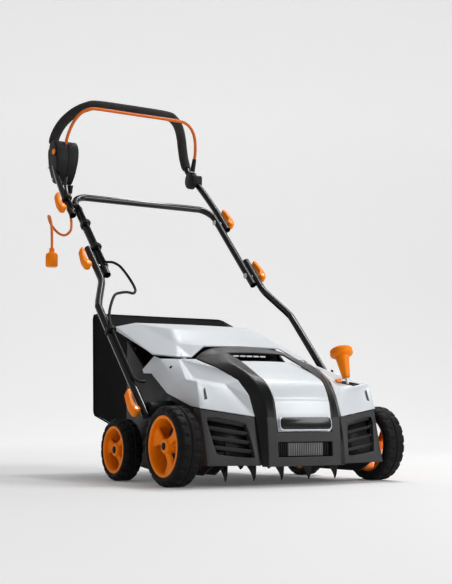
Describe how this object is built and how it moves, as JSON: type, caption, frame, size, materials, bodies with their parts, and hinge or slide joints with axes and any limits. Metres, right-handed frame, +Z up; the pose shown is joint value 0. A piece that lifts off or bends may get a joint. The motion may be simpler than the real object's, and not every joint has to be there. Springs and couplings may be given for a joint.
{
  "type": "electric lawn scarifier",
  "caption": "Electric lawn scarifier and dethatcher: faceted wheeled body with spring-blade reel, depth lever, folding tubular handle with bail switch, and rear fabric catch bag.",
  "frame": {"origin": "on the ground under the centre of the machine's footprint and handle, cords left out", "axes": "+Z up, -Y towards the machine's front, +X towards its right when seen from the front camera side"},
  "size_m": [0.636, 0.9671, 1.0532],
  "materials": {
    "silver": "satin painted ABS",
    "black_plastic": "fine grain",
    "gloss_black": "gloss",
    "orange": "satin",
    "tyre": "matte",
    "foam": "matte foam",
    "steel": "zinc plated",
    "tine_steel": "dark hardened",
    "painted_tube": "gloss black powder coat",
    "fabric": "woven polyester",
    "cable_black": "satin",
    "cable_orange": "satin",
    "belt": "matte",
    "aluminium": "die cast"
  },
  "bodies": {
    "chassis": {"chassis_deck": "black_plastic", "hood": "silver", "trim_band": "gloss_black", "centre_panel": "silver", "badge_plate": "gloss_black", "front_bumper": "black_plastic", "vent_grille_left": "black_plastic", "vent_grille_right": "black_plastic", "intake_grille": "black_plastic", "motor_can": "aluminium", "drive_belt": "belt", "reel_bearing_left": "steel", "reel_bearing_right": "steel", "rear_axle": "steel"},
    "flap": {"rear_flap": "silver"},
    "depth_crank": {"front_axle": "steel", "depth_lever": "steel", "depth_knob": "orange"},
    "front_left_wheel": {"front_left_rim": "orange", "front_left_tyre": "tyre"},
    "front_right_wheel": {"front_right_rim": "orange", "front_right_tyre": "tyre"},
    "rear_left_wheel": {"rear_left_rim": "orange", "rear_left_tyre": "tyre"},
    "rear_right_wheel": {"rear_right_rim": "orange", "rear_right_tyre": "tyre"},
    "reel": {"reel_shaft": "steel", "tine_reel": "tine_steel", "reel_pulley": "aluminium"},
    "rotor": {"motor_shaft": "steel", "cooling_fan": "black_plastic", "drive_pulley": "aluminium"},
    "bag": {"catch_bag": "fabric", "bag_frame": "black_plastic"},
    "lower_handle": {"lower_tube_left": "painted_tube", "lower_tube_right": "painted_tube", "lower_bolt_left": "steel", "lower_bolt_right": "steel", "motor_cable_lower": "cable_black"},
    "mid_handle": {"mid_frame": "painted_tube", "motor_cable_middle": "cable_black"},
    "top_handle": {"upper_handle": "painted_tube", "foam_grip": "foam", "switch_box": "black_plastic", "bail_pivot_box": "black_plastic", "cable_gland": "black_plastic", "upper_bolt_left": "steel", "upper_bolt_right": "steel", "motor_cable_upper": "cable_black", "mains_lead": "cable_orange", "mains_plug": "orange"},
    "switch_bail": {"bail": "orange"},
    "safety_button": {"lock_button": "orange"},
    "foot_lever_left_arm": {"foot_lever_left": "orange"},
    "foot_lever_right_arm": {"foot_lever_right": "orange"},
    "lower_lever_left_arm": {"lower_lever_left": "orange"},
    "lower_lever_right_arm": {"lower_lever_right": "orange"},
    "upper_lever_left_arm": {"upper_lever_left": "orange"},
    "upper_lever_right_arm": {"upper_lever_right": "orange"}
  },
  "joints": [
    {"name": "depth_adjust", "type": "hinge", "parent": "chassis", "child": "depth_crank", "pos_m": [0, -0.3951, 0.147], "axis": [1, 0, 0], "range_deg": [-8, 14]},
    {"name": "front_left_spin", "type": "hinge", "parent": "depth_crank", "child": "front_left_wheel", "pos_m": [-0.2725, -0.3721, 0.087], "axis": [1, 0, 0], "continuous": true},
    {"name": "front_right_spin", "type": "hinge", "parent": "depth_crank", "child": "front_right_wheel", "pos_m": [0.2725, -0.3721, 0.087], "axis": [1, 0, 0], "continuous": true},
    {"name": "rear_left_spin", "type": "hinge", "parent": "chassis", "child": "rear_left_wheel", "pos_m": [-0.261, -0.0951, 0.0725], "axis": [1, 0, 0], "continuous": true},
    {"name": "rear_right_spin", "type": "hinge", "parent": "chassis", "child": "rear_right_wheel", "pos_m": [0.261, -0.0951, 0.0725], "axis": [1, 0, 0], "continuous": true},
    {"name": "reel_spin", "type": "hinge", "parent": "chassis", "child": "reel", "pos_m": [0, -0.3741, 0.068], "axis": [1, 0, 0], "continuous": true},
    {"name": "motor_spin", "type": "hinge", "parent": "chassis", "child": "rotor", "pos_m": [0, -0.2131, 0.205], "axis": [1, 0, 0], "continuous": true},
    {"name": "flap_lift", "type": "hinge", "parent": "chassis", "child": "flap", "pos_m": [0, -0.2221, 0.284], "axis": [1, 0, 0], "range_deg": [0, 32], "stiffness_Nm_per_rad": 0.4, "springref_deg": -17.19},
    {"name": "bag_unhook", "type": "slide", "parent": "chassis", "child": "bag", "axis": [0, 1, 0], "range_m": [0, 0.3]},
    {"name": "lower_fold", "type": "hinge", "parent": "chassis", "child": "lower_handle", "pos_m": [0, -0.2561, 0.163], "axis": [1, 0, 0], "range_deg": [0, 100]},
    {"name": "mid_fold", "type": "hinge", "parent": "lower_handle", "child": "mid_handle", "pos_m": [0, 0.10888, 0.53533], "axis": [1, 0, 0], "range_deg": [0, 130]},
    {"name": "upper_fold", "type": "hinge", "parent": "mid_handle", "child": "top_handle", "pos_m": [0, 0.278, 0.70786], "axis": [1, 0, 0], "range_deg": [0, 130]},
    {"name": "bail_pull", "type": "hinge", "parent": "top_handle", "child": "switch_bail", "pos_m": [0, 0.4159, 0.857], "axis": [-1, 0, 0], "range_deg": [0, 10], "stiffness_Nm_per_rad": 2, "springref_deg": -11.46},
    {"name": "safety_press", "type": "slide", "parent": "top_handle", "child": "safety_button", "axis": [1, 0, 0], "range_m": [0, 0.005], "stiffness_N_per_m": 400, "springref_m": -0.002},
    {"name": "foot_lever_left_open", "type": "hinge", "parent": "lower_handle", "child": "foot_lever_left_arm", "pos_m": [-0.3068, -0.2561, 0.163], "axis": [0, -0.7141, 0.7], "range_deg": [0, 110]},
    {"name": "foot_lever_right_open", "type": "hinge", "parent": "lower_handle", "child": "foot_lever_right_arm", "pos_m": [0.3068, -0.2561, 0.163], "axis": [0, 0.7141, -0.7], "range_deg": [0, 110]},
    {"name": "lower_lever_left_open", "type": "hinge", "parent": "lower_handle", "child": "lower_lever_left_arm", "pos_m": [-0.2648, 0.10888, 0.53533], "axis": [0, -0.7141, 0.7], "range_deg": [0, 110]},
    {"name": "lower_lever_right_open", "type": "hinge", "parent": "lower_handle", "child": "lower_lever_right_arm", "pos_m": [0.2648, 0.10888, 0.53533], "axis": [0, 0.7141, -0.7], "range_deg": [0, 110]},
    {"name": "upper_lever_left_open", "type": "hinge", "parent": "top_handle", "child": "upper_lever_left_arm", "pos_m": [-0.2648, 0.278, 0.70786], "axis": [0, -0.7141, 0.7], "range_deg": [0, 110]},
    {"name": "upper_lever_right_open", "type": "hinge", "parent": "top_handle", "child": "upper_lever_right_arm", "pos_m": [0.2648, 0.278, 0.70786], "axis": [0, 0.7141, -0.7], "range_deg": [0, 110]}
  ],
  "couplings": [
    {"joint": "motor_spin", "follows": "reel_spin", "ratio": 2}
  ]
}
